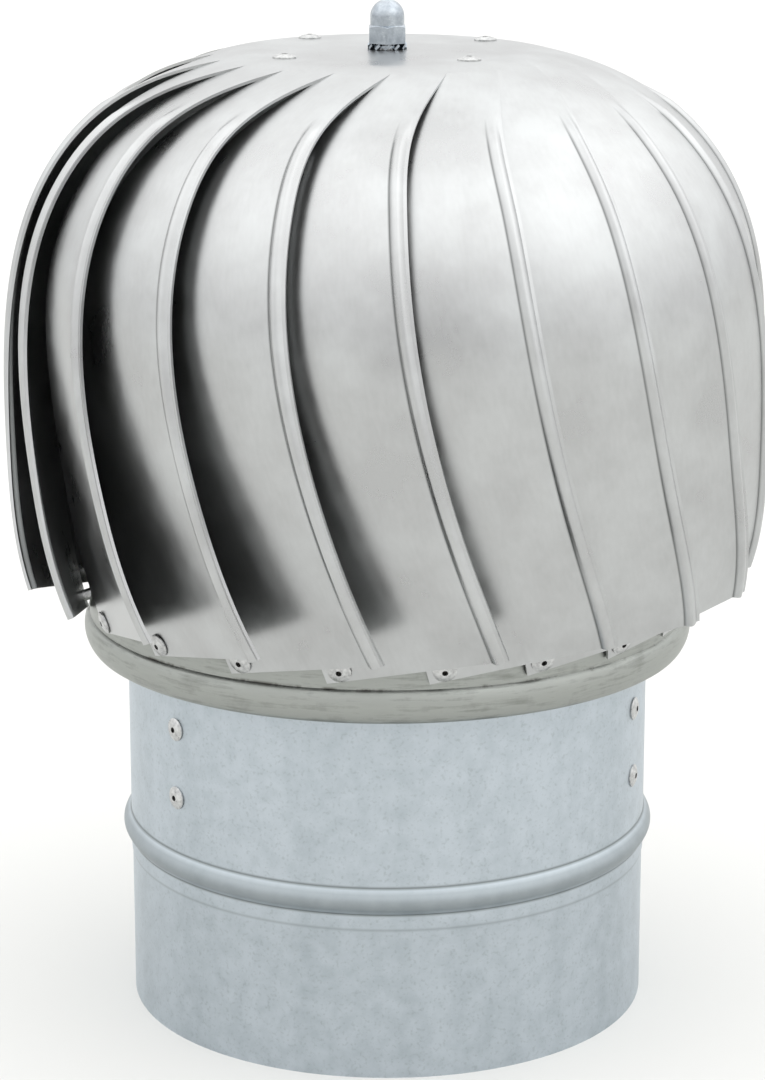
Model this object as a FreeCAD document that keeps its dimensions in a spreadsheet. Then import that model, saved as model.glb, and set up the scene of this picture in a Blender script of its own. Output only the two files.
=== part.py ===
import FreeCAD
import Part
import Sketcher
import math
import os
import re
from FreeCAD import Placement, Rotation, Vector

# Rotating chimney cowl: a slotted one-piece dome turns on a spindle in two ball
# bearings, above a flue tube that is pushed into the chimney pipe.
# Millimetres, +Z up, origin at the centre of the tube's lower edge, front at -Y.

SIZES = [
    # flue tube
    ("tube_radius", 75.0, "outside of the flue tube"),
    ("tube_wall", 0.8, "sheet of the flue tube"),
    ("tube_height", 117.0, "upper edge of the flue tube, inside the collar"),
    ("bead_low", 48.0, "lower foot of the stop bead"),
    ("bead_high", 55.7, "upper foot of the stop bead"),
    ("bead_rise", 2.2, "how far the stop bead stands out"),
    # bearing carrier
    ("arm_count", 3, "arms that carry the bearing housing"),
    ("arm_angle", -51.5, "degrees from the front to the first arm"),
    ("arm_width", 20.0, "width of an arm's strip"),
    ("arm_sheet", 2.0, "thickness of an arm's strip"),
    ("arm_foot", 62.0, "lower end of an arm's tab"),
    ("arm_bend", 101.0, "height where an arm turns inwards"),
    ("arm_rise", 16.0, "how far an arm climbs towards the housing"),
    ("arm_gap", 0.1, "play between an arm's tab and the tube"),
    ("rivet_low", 72.0, "lower rivet of an arm"),
    ("rivet_high", 92.0, "upper rivet of an arm"),
    ("housing_radius", 15.0, "outside of the bearing housing"),
    ("housing_base", 95.0, "lower end of the bearing housing"),
    ("housing_length", 90.0, "length of the bearing housing"),
    ("housing_lip", 2.5, "depth of a bearing seat's mouth, clip included"),
    ("housing_bore", 9.5, "radius of the bore between the seats"),
    ("clip_sheet", 1.0, "thickness of a retaining ring"),
    ("clip_depth", 0.5, "depth of a retaining ring's groove"),
    ("clip_land", 1.8, "how far a retaining ring reaches in over the bearing"),
    # ball bearings
    ("bearing_radius", 11.0, "outside of a bearing"),
    ("bearing_bore", 4.0, "bore radius of a bearing"),
    ("bearing_width", 7.0, "width of a bearing"),
    ("pitch_radius", 7.5, "circle of the balls"),
    ("ball_radius", 1.98, "radius of a ball"),
    ("ball_count", 7, "balls in a bearing"),
    ("race_play", 0.07, "play of a ball in its races and cage"),
    ("race_land", 1.2, "from the ball circle to a ring's shoulder"),
    ("cage_wall", 0.8, "thickness of a ball cage"),
    ("cage_height", 5.8, "height of a ball cage"),
    # spindle and what is on it
    ("fit_play", 0.04, "play of a turned fit"),
    ("spindle_radius", 5.0, "spindle above the upper bearing"),
    ("thread_radius", 3.0, "threaded ends of the spindle"),
    ("thread_play", 0.06, "play of a threaded end in its holes"),
    ("sleeve_wall", 1.5, "wall of the spacer sleeve"),
    ("flat_washer_radius", 6.0, "outside of the flat washer"),
    ("flat_washer_sheet", 1.2, "thickness of the flat washer"),
    ("nut_flats", 10.0, "across the flats of both nuts"),
    ("nut_face", 4.75, "radius of a nut's chamfered end face"),
    ("nut_bevel", 0.6, "height of that chamfer at the corners"),
    ("lock_nut_height", 6.0, "height of the lock nut"),
    ("thread_tail", 2.0, "thread left below the lock nut"),
    ("cap_nut_height", 12.0, "height of the domed cap nut"),
    ("cap_nut_hex", 5.0, "height of the cap nut's hexagon"),
    ("cap_nut_dome", 4.75, "radius of the cap nut's dome"),
    ("cap_nut_roof", 2.5, "solid metal at the top of the dome"),
    ("tooth_washer_height", 1.7, "height over the twisted teeth"),
    ("tooth_washer_sheet", 0.7, "sheet of the toothed washer"),
    ("tooth_washer_radius", 5.4, "outside of the toothed washer"),
    ("tooth_count", 12, "teeth of the toothed washer"),
    ("tooth_twist", 40.0, "twist of a tooth, degrees"),
    ("tooth_root", 0.35, "how far a tooth reaches into the washer's ring"),
    # dome
    ("blade_count", 20, "blades of the dome"),
    ("dome_sheet", 0.8, "sheet of the dome"),
    ("crown_height", 274.8, "upper face of the flat crown"),
    ("crown_radius", 42.0, "flat part of the crown"),
    ("rim_radius", 48.0, "where the slots between the blades begin"),
    ("rim_drop", 1.4, "from the crown down to that rim"),
    ("rim_bite", 2.5, "how far a blade reaches in under the rim"),
    ("dome_radius", 108.0, "widest radius of the blades' free edges"),
    ("dome_waist", 165.0, "height of that widest radius"),
    ("dome_fullness", 2.95, "exponent of the dome's outline, 2 is a round one"),
    ("foot_height", 128.0, "lower end of a blade's free edge"),
    ("foot_inset", 3.0, "how far a free edge's lower end lies inside that widest radius"),
    ("foot_drop", 10.7, "how much lower a blade's riveted corner is"),
    ("free_edge_angle", 3.05, "degrees from the front to a free edge at the shoulder"),
    ("crown_sweep", 16.0, "degrees that a free edge sweeps from the rim to the shoulder"),
    ("foot_sweep", 14.4, "degrees that a free edge sweeps from the shoulder to its foot"),
    ("shoulder_tilt", 58.0, "where the sweep to the rim begins, degrees from the crown"),
    ("shoulder_height", 240.0, "where the sweep to the foot begins"),
    ("crown_snap", 3.3, "how suddenly the sweep sets in towards the rim, 1 is evenly"),
    ("foot_snap", 1.9, "how suddenly the sweep sets in towards the foot"),
    ("rim_slit", 1.0, "slot between two blades at the rim, degrees"),
    ("blade_overlap", 10.0, "how far a blade passes under its neighbour, degrees"),
    ("waist_depth", 14.5, "how far a tucked edge lies inside its free edge"),
    ("opening_snap", 2.2, "how soon a blade opens below the rim, 1 is evenly"),
    ("blade_bulge", 5.0, "rise of a blade's section over its chord"),
    ("bulge_height", 212.0, "where the bulge begins to flatten towards the foot"),
    ("blade_stations", 14, "sections that a blade is drawn through"),
    ("rib_width", 4.2, "width of the pressed rib along a free edge"),
    ("rib_rise", 1.7, "height of the pressed rib"),
    ("rib_flat", 1.4, "flat top of the pressed rib"),
    ("rib_lip", 1.0, "flat lip outside the rib"),
    ("press_trace", 0.03, "height that a pressed form keeps where it has run out"),
    ("rib_start", 44.0, "where the rib begins, degrees from the crown"),
    ("rib_full", 56.0, "where the rib has its full height, degrees from the crown"),
    # crown plate and collar
    ("plate_radius", 40.5, "stiffening plate under the crown"),
    ("plate_sheet", 2.0, "thickness of the stiffening plate"),
    ("crown_rivets", 4, "rivets through crown and plate"),
    ("crown_rivet_circle", 35.5, "radius of their circle"),
    ("crown_rivet_angle", -51.6, "degrees from the front to the first of them"),
    ("collar_reach", 10.8, "from the tube out to the collar's wall"),
    ("collar_sheet", 0.8, "sheet of the collar"),
    ("collar_high", 123.5, "upper edge of the collar"),
    ("roll_high", 115.6, "upper foot of the collar's rolled bead"),
    ("roll_low", 106.0, "lowest point of the collar"),
    ("roll_rise", 2.0, "how far the rolled bead stands out"),
    ("roll_tuck", 1.0, "how far the bead's lower foot lies inside the wall"),
    ("collar_clearance", 3.5, "free gap between the tube and the collar's turned-in lip"),
    ("seat_gap", 0.25, "play between a blade's foot and the collar"),
    # blind rivets
    ("rivet_radius", 1.6, "shank of a rivet"),
    ("rivet_head", 3.25, "radius of a rivet's head"),
    ("rivet_dome", 1.1, "height of a rivet's head"),
    ("rivet_edge", 0.35, "height of the rim of a rivet's head"),
    ("rivet_shoulder", 0.95, "height of a rivet's head half way to its hole"),
    ("rivet_hole", 0.8, "radius of the mandrel hole in a rivet's head"),
    ("rivet_mandrel", 0.4, "height of the broken mandrel in that hole"),
    ("rivet_tail", 2.4, "radius of a rivet's set tail"),
    ("rivet_play", 0.05, "play of a rivet in its hole"),
    ("foot_rivet_in", 4.8, "from a blade's tucked edge to its rivet"),
    ("foot_rivet_up", 3.4, "from a blade's lower edge to its rivet"),
]

doc = FreeCAD.newDocument("rotating_cowl")
sheet = doc.addObject("Spreadsheet::Sheet", "dims")
for row, (alias, number, meaning) in enumerate(SIZES, 1):
    sheet.set(f"A{row}", meaning)
    sheet.set(f"B{row}", str(number))
    sheet.setAlias(f"B{row}", alias)
doc.recompute()
parts = []


def bound(text):
    """An expression in the sheet's aliases, as the document reads it."""
    return re.sub(r"\b(?!sqrt\b)([a-z][a-z_]+)\b", r"dims.\1", text)


def size(text):
    """The present value of an expression in the sheet's aliases."""
    return float(sheet.evalExpression(bound(text)))


def whole(alias):
    return int(round(size(alias)))


def around(radius, turn, height):
    """A point by its radius, its angle from the front and its height."""
    angle = math.radians(turn)
    return Vector(radius * math.sin(angle), -radius * math.cos(angle), height)


def part(obj, label):
    """Marks an object as a sub-part of the cowl."""
    obj.Label = label
    parts.append(obj)
    return obj


def shaped(name, shape):
    obj = doc.addObject("Part::Feature", name)
    obj.Shape = shape
    return obj


# Turned and spun pieces


def profile_sketch(body, name, outline):
    """A closed profile in the XZ plane. Each corner is a radius and a height, and a
    corner with two more values is reached by an arc through that second point."""
    sketch = body.newObject("Sketcher::SketchObject", name)
    plane = next(f for f in body.Origin.OriginFeatures if f.Role == "XZ_Plane")
    sketch.AttachmentSupport = (plane, "")
    sketch.MapMode = "FlatFace"
    corners = [Vector(size(c[0]), size(c[1]), 0) for c in outline]
    ends = []
    for i, corner in enumerate(outline):
        start, end = corners[i - 1], corners[i]
        if len(corner) == 4:
            via = Vector(size(corner[2]), size(corner[3]), 0)
            index = sketch.addGeometry(Part.Arc(start, via, end))
            forward = sketch.getPoint(index, 1).distanceToPoint(start) < 1e-6
            ends.append((index, 1, 2) if forward else (index, 2, 1))
            mark = sketch.addGeometry(Part.Point(via), True)
            place(sketch, mark, 1, corner[2], corner[3])
            sketch.addConstraint(Sketcher.Constraint("PointOnObject", mark, 1, index))
        else:
            ends.append((sketch.addGeometry(Part.LineSegment(start, end)), 1, 2))
    for i, corner in enumerate(outline):
        index, _, last = ends[i]
        following, first, _ = ends[(i + 1) % len(ends)]
        sketch.addConstraint(
            Sketcher.Constraint("Coincident", index, last, following, first)
        )
        place(sketch, index, last, corner[0], corner[1])
    return sketch


def place(sketch, index, end, radius, height):
    """Ties a point of a sketch to a radius and a height."""
    for kind, axis, text in (("DistanceX", -2, radius), ("DistanceY", -1, height)):
        if abs(size(text)) < 1e-9:
            sketch.addConstraint(
                Sketcher.Constraint("PointOnObject", index, end, axis)
            )
            continue
        made = sketch.addConstraint(
            Sketcher.Constraint(kind, -1, 1, index, end, size(text))
        )
        sketch.setExpression(f"Constraints[{made}]", bound(text))


def turned(name, outline):
    """A body of revolution about the cowl's axis."""
    body = doc.addObject("PartDesign::Body", name)
    sketch = profile_sketch(body, name + "_profile", outline)
    spin = body.newObject("PartDesign::Revolution", name + "_spin")
    spin.Profile = sketch
    spin.ReferenceAxis = (sketch, ["V_Axis"])
    spin.Angle = 360.0
    doc.recompute()
    return body


def cut(name, base, tool):
    obj = doc.addObject("Part::Cut", name)
    obj.Base = base
    obj.Tool = tool
    return obj


# Rivets, used on the crown, the collar and the arms


def rivet_shape(grip):
    """A set blind rivet along +Z, its head's seat at the origin, its tail at -grip."""
    shank, head, dome = size("rivet_radius"), size("rivet_head"), size("rivet_dome")
    hole, tail = size("rivet_hole"), size("rivet_tail")
    edge, mandrel = size("rivet_edge"), size("rivet_mandrel")
    rise = Part.Arc(
        Vector(head, 0, edge),
        Vector((head + hole) / 2, 0, size("rivet_shoulder")),
        Vector(hole, 0, dome),
    )
    points = [
        Vector(hole, 0, dome),
        Vector(hole, 0, mandrel),
        Vector(0, 0, mandrel),
        Vector(0, 0, -grip - tail),
        Vector(shank, 0, -grip - tail),
        Vector(tail, 0, -grip - 0.5 * tail),
        Vector(shank, 0, -grip),
        Vector(shank, 0, 0),
        Vector(head, 0, 0),
        Vector(head, 0, edge),
    ]
    lines = [Part.LineSegment(a, b).toShape() for a, b in zip(points, points[1:])]
    face = Part.Face(Part.Wire(lines + [rise.toShape()]))
    return face.revolve(Vector(0, 0, 0), Vector(0, 0, 1), 360)


def rivet_pin():
    """The drill for a rivet, along Z on both sides of the origin."""
    radius = size("rivet_radius + rivet_play")
    reach = size("rivet_tail * 4")
    return Part.makeCylinder(radius, 2 * reach, Vector(0, 0, -reach))


def seats(points_and_normals):
    return [
        Placement(point, Rotation(Vector(0, 0, 1), normal))
        for point, normal in points_and_normals
    ]


def spread(shape, placements):
    """Copies of one shape at several places, as separate solids."""
    copies = []
    for where in placements:
        copy = shape.copy()
        copy.Placement = where
        copies.append(copy)
    return Part.makeCompound(copies)


# Flue tube


def arm_turns():
    step = 360.0 / whole("arm_count")
    return [size("arm_angle") + step * i for i in range(whole("arm_count"))]


def arm_rivet_seats():
    return seats(
        [
            (
                around(size("tube_radius"), turn, height),
                around(1.0, turn, 0.0),
            )
            for turn in arm_turns()
            for height in (size("rivet_low"), size("rivet_high"))
        ]
    )


def make_tube():
    inner = "tube_radius - tube_wall"
    middle = "(bead_low + bead_high) / 2"
    shell = turned(
        "flue_shell",
        [
            ("tube_radius", "tube_height - tube_height"),
            ("tube_radius", "bead_low"),
            ("tube_radius", "bead_high", "tube_radius + bead_rise", middle),
            ("tube_radius", "tube_height"),
            (inner, "tube_height"),
            (inner, "bead_high"),
            (inner, "bead_low", inner + " + bead_rise", middle),
            (inner, "tube_height - tube_height"),
        ],
    )
    holes = shaped("arm_rivet_holes", spread(rivet_pin(), arm_rivet_seats()))
    part(cut("flue_cut", shell, holes), "flue_tube")


# Bearing carrier


def make_arms():
    """Folded strips: a tab along the tube, then a leg that climbs to the housing."""
    wall = size("tube_radius - tube_wall - arm_gap")
    thick, bend = size("arm_sheet"), size("arm_bend")
    inner_end = size("housing_radius") * 0.5
    top = bend + size("arm_rise")
    points = [
        Vector(wall + thick, 0, size("arm_foot")),
        Vector(wall + thick, 0, bend),
        Vector(inner_end, 0, top),
        Vector(inner_end, 0, top - thick),
        Vector(wall - thick, 0, bend - thick),
        Vector(wall - thick, 0, size("arm_foot")),
    ]
    strip = Part.Face(Part.makePolygon(points + points[:1]))
    width = size("arm_width")
    strip.translate(Vector(0, -width / 2, 0))
    blank = strip.extrude(Vector(0, width, 0))
    reach = size("tube_height")
    blank = blank.common(Part.makeCylinder(wall, 2 * reach))
    cope = size("housing_radius + fit_play")
    blank = blank.cut(Part.makeCylinder(cope, 2 * reach))
    pins = [
        Placement(Vector(wall, 0, height), Rotation(Vector(0, 0, 1), Vector(1, 0, 0)))
        for height in (size("rivet_low"), size("rivet_high"))
    ]
    blank = blank.cut(spread(rivet_pin(), pins))
    for number, turn in enumerate(arm_turns(), 1):
        arm = part(shaped(f"arm_{number}", blank), f"bearing_arm_{number}")
        arm.Placement = Placement(Vector(), Rotation(Vector(0, 0, 1), turn - 90.0))
    grip = size("tube_wall + arm_gap + arm_sheet")
    part(
        shaped("arm_rivet_set", spread(rivet_shape(grip), arm_rivet_seats())),
        "arm_rivets",
    )


LOW_MOUTH = "housing_base + housing_lip"
HIGH_MOUTH = "housing_base + housing_length - housing_lip"


def make_housing():
    seat = "bearing_radius + fit_play"
    groove = "bearing_radius + clip_depth + fit_play"
    top = "housing_base + housing_length"
    low_step = LOW_MOUTH + " + bearing_width"
    high_step = HIGH_MOUTH + " - bearing_width"
    low_clip = LOW_MOUTH + " - clip_sheet - fit_play"
    high_clip = HIGH_MOUTH + " + clip_sheet + fit_play"
    body = turned(
        "housing",
        [
            ("housing_radius", "housing_base"),
            ("housing_radius", top),
            (seat, top),
            (seat, high_clip),
            (groove, high_clip),
            (groove, HIGH_MOUTH),
            (seat, HIGH_MOUTH),
            (seat, high_step),
            ("housing_bore", high_step),
            ("housing_bore", low_step),
            (seat, low_step),
            (seat, LOW_MOUTH),
            (groove, LOW_MOUTH),
            (groove, low_clip),
            (seat, low_clip),
            (seat, "housing_base"),
        ],
    )
    part(body, "bearing_housing")


def make_clip(name, low):
    """A retaining ring: a C of spring steel, open at the front."""
    outer = "bearing_radius + clip_depth"
    inner = "bearing_radius - clip_land"
    ring = turned(
        name,
        [
            (outer, low),
            (outer, low + " + clip_sheet"),
            (inner, low + " + clip_sheet"),
            (inner, low),
        ],
    )
    gap = size("clip_land * 2")
    slot = Part.makeBox(gap, size("bearing_radius * 2"), size("clip_sheet * 3"))
    slot.translate(
        Vector(-gap / 2, -size("bearing_radius * 2"), size(low + " - clip_sheet"))
    )
    part(cut(name + "_open", ring, shaped(name + "_gap", slot)), name + "_ring")


def make_bearing(name, low):
    """A deep-groove ball bearing whose lower face is at a height."""
    middle, high = low + " + bearing_width / 2", low + " + bearing_width"
    race = "(ball_radius + race_play)"
    # half the race's width where it runs out on the rings' shoulders
    half_mouth = f"sqrt({race} ^ 2 - race_land ^ 2)"
    inner_land, outer_land = "pitch_radius - race_land", "pitch_radius + race_land"
    for ring, land, back, floor in (
        ("inner", inner_land, "bearing_bore", f"pitch_radius - {race}"),
        ("outer", outer_land, "bearing_radius", f"pitch_radius + {race}"),
    ):
        body = turned(
            f"{name}_{ring}",
            [
                (back, low),
                (land, low),
                (land, f"{middle} - {half_mouth}"),
                (land, f"{middle} + {half_mouth}", floor, middle),
                (land, high),
                (back, high),
            ],
        )
        part(body, f"{name}_{ring}_ring")
    step = 360.0 / whole("ball_count")
    turns = [step * i for i in range(whole("ball_count"))]
    centres = [around(size("pitch_radius"), turn, size(middle)) for turn in turns]
    ball = Part.makeSphere(size("ball_radius"))
    part(
        shaped(f"{name}_ball_set", spread(ball, [Placement(c, Rotation()) for c in centres])),
        f"{name}_balls",
    )
    outer, inner = "pitch_radius + cage_wall / 2", "pitch_radius - cage_wall / 2"
    bottom = middle + " - cage_height / 2"
    ring = turned(
        f"{name}_cage_blank",
        [
            (outer, bottom),
            (outer, bottom + " + cage_height"),
            (inner, bottom + " + cage_height"),
            (inner, bottom),
        ],
    )
    reach = size("cage_wall * 2")
    pocket = Part.makeCylinder(
        size("ball_radius + race_play"), 2 * reach, Vector(0, 0, -reach)
    )
    ways = [around(1.0, turn, 0.0) for turn in turns]
    pockets = spread(pocket, seats(list(zip(centres, ways))))
    part(
        cut(f"{name}_cage_cut", ring, shaped(f"{name}_pockets", pockets)),
        f"{name}_cage",
    )


# Spindle and the fasteners on it


PLATE_LOW = "crown_height - dome_sheet - plate_sheet"
WASHER_TOP = "crown_height + tooth_washer_height"


def make_spindle():
    journal = "bearing_bore - fit_play"
    tail = LOW_MOUTH + " - flat_washer_sheet - lock_nut_height - thread_tail"
    tip = WASHER_TOP + " + cap_nut_height - cap_nut_roof - thread_tail"
    body = turned(
        "spindle_body",
        [
            ("fit_play - fit_play", tail),
            ("thread_radius", tail),
            ("thread_radius", LOW_MOUTH),
            (journal, LOW_MOUTH),
            (journal, HIGH_MOUTH),
            ("spindle_radius", HIGH_MOUTH),
            ("spindle_radius", PLATE_LOW),
            ("thread_radius", PLATE_LOW),
            ("thread_radius", tip),
            ("fit_play - fit_play", tip),
        ],
    )
    part(body, "spindle")


def make_ring(name, label, inner, outer, low, high):
    body = turned(name, [(outer, low), (outer, high), (inner, high), (inner, low)])
    return part(body, label)


def hexagon(name, low, height):
    prism = doc.addObject("Part::Prism", name)
    prism.Polygon = 6
    prism.setExpression("Circumradius", bound("nut_flats / sqrt(3) * 1mm"))
    prism.setExpression("Height", bound(f"({height}) * 1mm"))
    prism.Placement = Placement(
        Vector(0, 0, size(low)), Rotation(Vector(0, 0, 1), -90.0)
    )
    return prism


def make_nut(name, label, low, height, outline):
    """A nut: its turned form, cut to a hexagon."""
    nut = doc.addObject("Part::Common", name + "_hexed")
    nut.Base = turned(name, outline)
    nut.Tool = hexagon(name + "_hexagon", low, height)
    part(nut, label)


def make_nuts():
    bore = "thread_radius + thread_play"
    corner = "nut_flats / sqrt(3)"
    low = WASHER_TOP
    seat = low + " + cap_nut_hex"
    top = low + " + cap_nut_height"
    throat = top + " - cap_nut_roof"
    # the dome is a straight skirt under a half sphere
    spring = top + " - cap_nut_dome"
    make_nut(
        "cap_nut_form",
        "cap_nut",
        low,
        "cap_nut_height",
        [
            (bore, low),
            (corner, low),
            (corner, seat + " - nut_bevel"),
            ("cap_nut_dome", seat),
            ("cap_nut_dome", spring),
            (
                "fit_play - fit_play",
                top,
                "cap_nut_dome * sqrt(0.5)",
                f"{spring} + cap_nut_dome * sqrt(0.5)",
            ),
            ("fit_play - fit_play", throat),
            (bore, throat),
        ],
    )
    nut_low = LOW_MOUTH + " - flat_washer_sheet - lock_nut_height"
    nut_high = LOW_MOUTH + " - flat_washer_sheet"
    make_nut(
        "lock_nut_form",
        "lock_nut",
        nut_low,
        "lock_nut_height",
        [
            (bore, nut_low),
            ("nut_face", nut_low),
            (corner, nut_low + " + nut_bevel"),
            (corner, nut_high),
            (bore, nut_high),
        ],
    )


def make_tooth_washer():
    """A spring washer whose outer teeth are twisted out of its plane."""
    low, rise = size("crown_height"), size("tooth_washer_height")
    sheet_thick, radius = size("tooth_washer_sheet"), size("tooth_washer_radius")
    inner = size("thread_radius + thread_play")
    root = 0.5 * (inner + radius)
    middle = low + rise / 2
    ring = Part.makeCylinder(root, sheet_thick).cut(
        Part.makeCylinder(inner, sheet_thick)
    )
    ring.translate(Vector(0, 0, middle - sheet_thick / 2))
    twist = math.radians(size("tooth_twist"))
    # a tooth as wide as its twist needs to reach from the crown to the nut
    width = (rise - sheet_thick * math.cos(twist)) / math.sin(twist)
    bite = size("tooth_root")
    tooth = Part.makeBox(radius - root + bite, width, sheet_thick)
    tooth.translate(Vector(root - bite, -width / 2, -sheet_thick / 2))
    tooth.rotate(Vector(0, 0, 0), Vector(1, 0, 0), size("tooth_twist"))
    tooth.translate(Vector(0, 0, middle))
    teeth = []
    for i in range(whole("tooth_count")):
        copy = tooth.copy()
        copy.rotate(Vector(0, 0, 0), Vector(0, 0, 1), 360.0 * i / whole("tooth_count"))
        teeth.append(copy)
    part(shaped("tooth_washer_form", ring.multiFuse(teeth)), "toothed_washer")


# Dome: one sheet with slots, each blade drawn down, twisted and ribbed


FOOT_RADIUS = "dome_radius - foot_inset"
COLLAR_RADIUS = "tube_radius + collar_reach"


def tilt_at(radius):
    """The outline's own angle from the crown where it has a radius, above the waist."""
    return math.asin((radius / size("dome_radius")) ** (size("dome_fullness") / 2.0))


def outline_point(tilt):
    """Radius and height of the free edges: half a superellipse above the waist and
    half of another below it."""
    power = 2.0 / size("dome_fullness")
    radius = size("dome_radius") * math.sin(tilt) ** power
    share = abs(math.cos(tilt)) ** power
    if tilt < math.pi / 2:
        known = abs(math.cos(tilt_at(size("rim_radius")))) ** power
        rise = size("crown_height - rim_drop - dome_waist") / known
    else:
        known = abs(math.cos(tilt_at(size(FOOT_RADIUS)))) ** power
        rise = -size("dome_waist - foot_height") / known
    return radius, size("dome_waist") + rise * share


class Blade:
    """The blade whose free edge is nearest the front, as a twisted, ribbed strip."""

    def __init__(self):
        self.rim = tilt_at(size("rim_radius"))
        self.foot = math.pi - tilt_at(size(FOOT_RADIUS))
        self.start = tilt_at(size("rim_radius - rim_bite"))
        self.sheet = size("dome_sheet")

    def turn(self, tilt):
        """Angle of the free edge from the front, swept at the crown and at the foot."""
        shoulder = math.radians(size("shoulder_tilt"))
        above = max(0.0, (shoulder - tilt) / (shoulder - self.rim))
        fall = size("shoulder_height") - outline_point(tilt)[1]
        below = max(0.0, fall / size("shoulder_height - foot_height"))
        sweep = size("crown_sweep") * above ** size("crown_snap")
        return size("free_edge_angle") + sweep + size("foot_sweep") * below ** size("foot_snap")

    def opening(self, tilt):
        """0 at the rim, 1 from the waist down: how far a blade is drawn open."""
        share = (tilt - self.rim) / (math.pi / 2 - self.rim)
        return 1.0 - (1.0 - min(1.0, max(0.0, share))) ** size("opening_snap")

    def bulge(self, tilt):
        """Rise of the section over its chord: none at the rim and at the straight foot."""
        fall = size("bulge_height") - outline_point(tilt)[1]
        share = min(1.0, max(0.0, fall / size("bulge_height - foot_height")))
        left = 1.0 - share * share * (3.0 - 2.0 * share)
        return size("press_trace") + size("blade_bulge") * self.opening(tilt) * left

    def edges(self, tilt):
        """The tucked edge and the free edge on the outer face."""
        radius, height = outline_point(tilt)
        step = 1e-4
        before, after = outline_point(tilt - step), outline_point(tilt + step)
        run, fall = after[0] - before[0], before[1] - after[1]
        length = math.hypot(run, fall)
        # the tucked edge lies inside the outline, square to it, and lower at the foot
        depth = size("waist_depth") * self.opening(tilt)
        rim = size("crown_height - rim_drop")
        along = max(0.0, (rim - height) / (rim - size("foot_height")))
        low = max(0.0, (tilt - math.pi / 2) / (self.foot - math.pi / 2))
        inner = radius - depth * fall / length
        seat = size(COLLAR_RADIUS + " + seat_gap + dome_sheet")
        inner += low ** 2 * (seat - self.foot_inner())
        under = height - depth * run / length - size("foot_drop") * along ** 2
        under += low ** 2 * self.foot_lift()
        span = 360.0 / whole("blade_count") - size("rim_slit")
        span += size("blade_overlap + rim_slit") * self.opening(tilt) ** 2
        turn = self.turn(tilt)
        return around(inner, turn - span, under), around(radius, turn, height)

    def foot_normal(self):
        step = 1e-4
        before = outline_point(self.foot - step)
        after = outline_point(self.foot + step)
        run, fall = after[0] - before[0], before[1] - after[1]
        length = math.hypot(run, fall)
        return fall / length, run / length

    def foot_inner(self):
        return size(FOOT_RADIUS) - size("waist_depth") * self.foot_normal()[0]

    def foot_lift(self):
        return size("waist_depth") * self.foot_normal()[1]

    def frame(self, tilt):
        """The tucked edge, the blade's width, and the directions across and out."""
        step = 1e-3
        inner, outer = self.edges(tilt)
        first, second = self.edges(tilt - step)
        third, fourth = self.edges(tilt + step)
        along = third.add(fourth).sub(first).sub(second)
        across = outer.sub(inner)
        width = across.Length
        across.normalize()
        out = along.cross(across)
        out.normalize()
        return inner, width, across, out

    def across(self, tilt):
        """A function that gives the points of one section, by how far they are from the
        tucked edge and how far above the outer face, and the section's width."""
        inner, width, across, out = self.frame(tilt)
        arch = self.bulge(tilt)

        def at(over, up):
            share = over / width
            return inner + across * over + out * (up + 4.0 * arch * share * (1.0 - share))

        return at, width

    def section(self, tilt):
        """The closed section of the sheet at one place along the blade."""
        at, width = self.across(tilt)
        begin, full = math.radians(size("rib_start")), math.radians(size("rib_full"))
        share = min(1.0, max(0.0, (tilt - begin) / (full - begin)))
        rise = size("press_trace") + size("rib_rise") * share * share * (3.0 - 2.0 * share)
        lip, rib, thick = size("rib_lip"), size("rib_width"), self.sheet
        foot, toe = width - lip - rib, width - lip
        near = width - lip - (rib + size("rib_flat")) / 2
        far = near + size("rib_flat")
        # the inner face follows the outer one, a sheet's thickness below it
        inside = 0.5 * thick
        corners = [
            at(foot, 0),
            at(near, rise),
            at(far, rise),
            at(toe, 0),
            at(width, 0),
            at(width, -thick),
            at(toe - inside, -thick),
            at(far - inside, rise - thick),
            at(near + inside, rise - thick),
            at(foot + inside, -thick),
        ]
        outer = Part.Arc(at(0, 0), at(foot / 2, 0), corners[0])
        lower = Part.Arc(corners[-1], at(foot / 2, -thick), at(0, -thick))
        edge = Part.LineSegment(at(0, -thick), at(0, 0))
        lines = [Part.LineSegment(a, b) for a, b in zip(corners, corners[1:])]
        return Part.Wire([curve.toShape() for curve in [outer, *lines, lower, edge]])

    def stations(self):
        """Tilts of the sections, from the rim to the foot at even steps along the outline."""
        last = whole("blade_stations") - 1
        # measured along twenty short chords from one section to the next
        fine = 20 * last
        tilts = [self.start + (self.foot - self.start) * i / fine for i in range(fine + 1)]
        spots = [outline_point(tilt) for tilt in tilts]
        lengths = [0.0]
        for near, far in zip(spots, spots[1:]):
            lengths.append(lengths[-1] + math.dist(near, far))
        steps = [lengths[-1] * i / last for i in range(last + 1)]
        return [min(zip(lengths, tilts), key=lambda spot: abs(spot[0] - step))[1] for step in steps]

    def solid(self):
        return Part.makeLoft([self.section(tilt) for tilt in self.stations()], True, False)

    def rivet_seat(self):
        """Where the blade's lower tucked corner is riveted, and the way out there. The
        head sits clear of the sheet, which isn't flat under it."""
        up, over = size("foot_rivet_up"), size("foot_rivet_in")
        step = 1e-3
        low, higher = self.edges(self.foot)[0], self.edges(self.foot - step)[0]
        per_length = step / higher.sub(low).Length
        tilt = self.foot - up * per_length
        at, _ = self.across(tilt)
        point, out = at(over, 0), self.frame(tilt)[3]
        head = size("rivet_head")
        highest = 0.0
        for i in range(-4, 5):
            at, _ = self.across(tilt + head * per_length * i / 4)
            for j in range(-4, 5):
                spot = at(over + head * j / 4, 0)
                highest = max(highest, spot.sub(point).dot(out))
        return point + out * (highest + size("fit_play")), out

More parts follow.
